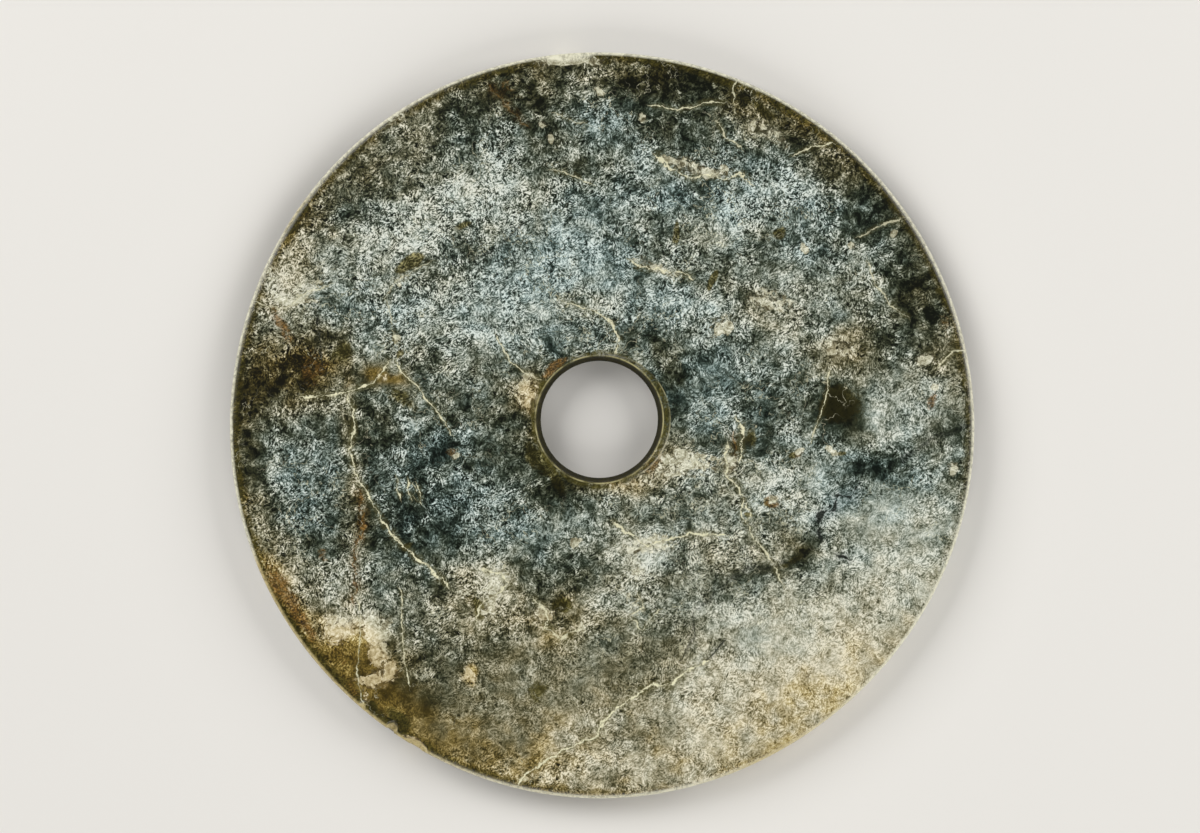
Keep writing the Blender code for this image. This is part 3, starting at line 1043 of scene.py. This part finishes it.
def add_cream(graph, place, flow, tone, mottle, colour):
    """Calcified crust and its haze, greenish or ochre. Returns the colour, its share and relief."""
    field = graph.attribute("cream")
    edge = field + graph.swing(place, *HAZE_EDGE, detail=2.0) + mottle * 0.55
    haze = graph.step(edge, 0.16, 0.84) * graph.step(field, 0.08, 0.34)
    torn = field + graph.swing(flow, *LACE_EDGE, detail=4.0) + mottle * 0.30
    lace = graph.step(torn, 0.50, 0.58) * graph.step(field, 0.20, 0.40)
    lip = graph.step(abs(torn - 0.60), 0.07, 0.0) * lace
    pit = graph.step(torn, 0.47, 0.38) * graph.step(field, 0.30, 0.60)
    holes = graph.dots(flow, *CRUST_HOLES) * lace
    relief = haze * 0.20 + lace * 0.22 + lip * 0.16 - pit * 0.26 - holes * 0.40
    relief += graph.swing(flow, *CRUST_GRAIN, detail=1.0) + mottle * 0.42 + 0.01
    pale = relief + tone * 0.40
    ochre = graph.step(graph.attribute("warmth"), 0.45, 0.95)
    crust = graph.mix(ochre, graph.ramp(pale, CREAM_SHADES), graph.ramp(pale, OCHRE_SHADES))
    share = graph.larger(haze * 0.72, lace * 0.95)
    return graph.mix(share, colour, crust), share, relief


def add_veins(graph, place, flow, mottle, wobble, width, colour):
    """The dark veins, then the pale ones with their golden stain, and faint hairlines."""
    dark_line, dark_stain = vein_line(graph, "dark_vein", wobble * 0.5, width)
    colour = graph.mix(dark_line * 0.70 + dark_stain * 0.26, colour, linear(*DARK_VEIN_COLOUR))
    line, stain = vein_line(graph, "cream_vein", wobble, width)
    crossing_line, crossing_stain = vein_line(graph, "crossing_vein", wobble, width)
    colour = graph.mix(graph.larger(stain, crossing_stain) * 0.30, colour, linear(*VEIN_STAIN))
    hairline = graph.lines(flow, *HAIRLINES, detail=4.0)
    areas = graph.noise(place, HAIRLINE_AREAS, detail=1.0)
    hairline *= graph.step(areas, 0.46, 0.60, 0.0, 0.52)
    pale = graph.larger(graph.larger(line, crossing_line), hairline)
    pale *= graph.step(mottle, -0.34, 0.06, 0.25, 1.0)
    return graph.mix(pale, colour, linear(*VEIN_COLOUR))


def add_hole(graph, place, mottle, colour):
    """An olive ring round the hole's mouth, the drill's step painted as a dark shaded crescent with a
    highlight on its edge, a highlight painted along the mouth, and the bore's wall painted dark as shade.
    """
    from_hole = graph.attribute("from_hole")
    from_start = graph.attribute("from_start")
    in_step = graph.step(from_hole, -0.1, 0.5) * graph.step(from_start, 0.1, -0.4)
    ragged = from_hole + graph.swing(place, *HOLE_EDGE, detail=3.0)
    unstained = graph.step(graph.attribute("rust"), 0.50, 0.15)
    # The olive ring round the mouth, and the drill's step painted dark olive as its shade
    olive = graph.larger(graph.step(ragged, 2.0, 0.7) * unstained * 0.75, in_step * 0.72)
    colour = graph.mix(olive, colour, graph.ramp(mottle * 0.6 + 0.42, RIM_SHADES))
    # The bore's wall painted dark olive as shade
    wall = graph.step(from_hole, -0.15, -0.75, 0.0, 0.94)
    colour = graph.mix(wall, colour, graph.ramp(mottle * 0.5 + 0.16, RIM_SHADES))
    # Painted highlights along the step's outer edge and along the hole's mouth
    step_edge_highlight = graph.step(abs(from_start), 0.26, 0.06) * graph.step(from_hole, 0.7, 1.4)
    mouth_highlight = graph.step(abs(from_hole + 0.12), 0.34, 0.08)
    uneven = graph.noise(place, LINE_UNEVENNESS, detail=3.0)
    line = graph.larger(mouth_highlight * 0.9, step_edge_highlight * 0.7)
    line *= graph.step(uneven, 0.36, 0.60, 0.15, 1.0)
    return graph.mix(line, colour, linear(*HOLE_HIGHLIGHT_COLOUR))


def jade_material(name, specular, coat):
    """Nephrite, calcified, pitted and stained, drawn from the disc's fields, with highlight and shade
    painted at its rim and hole.
    """
    material = bpy.data.materials.new(name)
    material.use_nodes = True
    graph = Graph(material)
    place, flow = bent_place(graph)
    olive = olive_rim_and_glow_share(graph, place)
    grain = grain_tone(graph, place, flow)
    tone = stone_tone(graph, flow, grain, olive)
    colour = stone_colour(graph, place, flow, tone, olive)

    mottle = graph.swing(flow, *MOTTLE, detail=3.0, roughness=0.75)
    # The rim's olive band: partly the stone's own olive, partly painted translucency of the thin edge
    rim_tone = mottle * 0.5 + grain * 0.25 + 0.34
    colour = graph.mix(olive * 0.8, colour, graph.ramp(rim_tone, RIM_SHADES))
    colour = add_window(graph, tone, mottle, colour)

    wobble = graph.swing(place, *VEIN_WOBBLE, detail=3.0, roughness=0.7)
    width = graph.step(graph.noise(place, VEIN_SWELLING, detail=2.0), 0.36, 0.64, 0.20, 1.15)
    rust_vein = vein_line(graph, "rust_vein", wobble, width)
    colour, rust = add_rust(graph, place, grain, mottle, rust_vein, colour)
    colour, cream, cream_relief = add_cream(graph, place, flow, tone, mottle, colour)
    colour = add_veins(graph, place, flow, mottle, wobble, width, colour)

    # A highlight painted along the rim's upper corner, golden where the stone is warm
    rim_highlight_share = graph.attribute("painted_rim_highlight") * graph.step(mottle, -0.3, 0.2, 0.5, 1.0)
    golden = graph.step(graph.attribute("warmth"), 0.6, 1.2)
    edge = graph.mix(golden, linear(*RIM_HIGHLIGHT_COLOUR), linear(*GOLDEN_RIM_HIGHLIGHT_COLOUR))
    colour = graph.mix(rim_highlight_share, colour, edge)

    drilled = graph.step(graph.attribute("from_hole"), -0.15, -0.5)
    dull = graph.larger(graph.larger(cream, rust * 0.6), drilled)
    height = cream * (cream_relief + 0.4) + mottle * 0.3
    bump = graph.node("ShaderNodeBump", {"Height": height, **BUMP})
    inputs = {
        "Base Color": add_hole(graph, place, mottle, colour),
        "Roughness": graph.step(dull, 0.0, 1.0, *ROUGHNESS) + mottle * 0.08,
        "Normal": graph.value(bump, "Normal"),
        "Metallic": 0.0,
        "IOR": STONE_IOR,
        "Specular IOR Level": specular,
        "Coat Weight": coat,
        "Coat Roughness": COAT_ROUGHNESS,
    }
    shader = material.node_tree.nodes["Principled BSDF"]
    for socket, value in inputs.items():
        graph.feed(shader.inputs[socket], value)
    return material


# The studio: half widths and places in metres, and the lights' power in watts
FLOOR_HALF = 3.0
FLOOR_COLOUR = (233, 230, 224)
FLOOR_ROUGHNESS = 0.85
FLOOR_DROP = 0.0002
LIGHTS = {
    "window_left": ((-1.00, 0.75, 1.00), 1.0, 17.5),
    "window_right": ((1.15, 0.45, 0.85), 1.0, 12.8),
    "window_front": ((0.10, -1.20, 0.80), 1.1, 10.5),
}
WORLD_GREY = 0.75
WORLD_STRENGTH = 0.12


def build_floor():
    mesh = bpy.data.meshes.new("studio_floor")
    corners = [
        (side * FLOOR_HALF, end * FLOOR_HALF, -FLOOR_DROP)
        for side, end in ((-1, -1), (1, -1), (1, 1), (-1, 1))
    ]
    mesh.from_pydata(corners, [], [(0, 1, 2, 3)])
    material = bpy.data.materials.new("studio_floor")
    material.use_nodes = True
    shader = material.node_tree.nodes["Principled BSDF"]
    shader.inputs["Base Color"].default_value = linear(*FLOOR_COLOUR)
    shader.inputs["Roughness"].default_value = FLOOR_ROUGHNESS
    mesh.materials.append(material)
    floor = bpy.data.objects.new("studio_floor", mesh)
    bpy.context.scene.collection.objects.link(floor)


def light_studio():
    for name, (place, size, power) in LIGHTS.items():
        light = bpy.data.lights.new(name, "AREA")
        light.shape = "SQUARE"
        light.size = size
        light.energy = power
        lamp = bpy.data.objects.new(name, light)
        lamp.location = place
        lamp.rotation_euler = (-lamp.location).to_track_quat("-Z", "Y").to_euler()
        lamp.visible_camera = False
        bpy.context.scene.collection.objects.link(lamp)
    world = bpy.data.worlds.new("studio_world")
    world.use_nodes = True
    background = world.node_tree.nodes["Background"]
    background.inputs["Color"].default_value = (WORLD_GREY, WORLD_GREY, WORLD_GREY, 1.0)
    background.inputs["Strength"].default_value = WORLD_STRENGTH
    bpy.context.scene.world = world


def place_camera():
    """Straight above, as far off as makes the disc as wide in the frame as in the photograph."""
    data = bpy.data.cameras.new("photo_camera")
    data.lens = LENS_MM
    data.sensor_width = SENSOR_MM
    camera = bpy.data.objects.new("photo_camera", data)
    x, y = from_photo(PHOTO_WIDTH / 2, PHOTO_HEIGHT / 2)
    distance = PHOTO_WIDTH * PX * LENS_MM / SENSOR_MM
    camera.location = (x, y, RIM_THICKNESS - RIM_ROUNDING + distance)
    bpy.context.scene.collection.objects.link(camera)
    bpy.context.scene.camera = camera
    bpy.context.scene.view_settings.view_transform = "Standard"


disc = fine_disc()
for finish, (specular, coat) in FINISHES.items():
    disc.data.materials.append(jade_material(finish, specular, coat))
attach(disc, "root")
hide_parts("jade_disc")
build_floor()
light_studio()
place_camera()
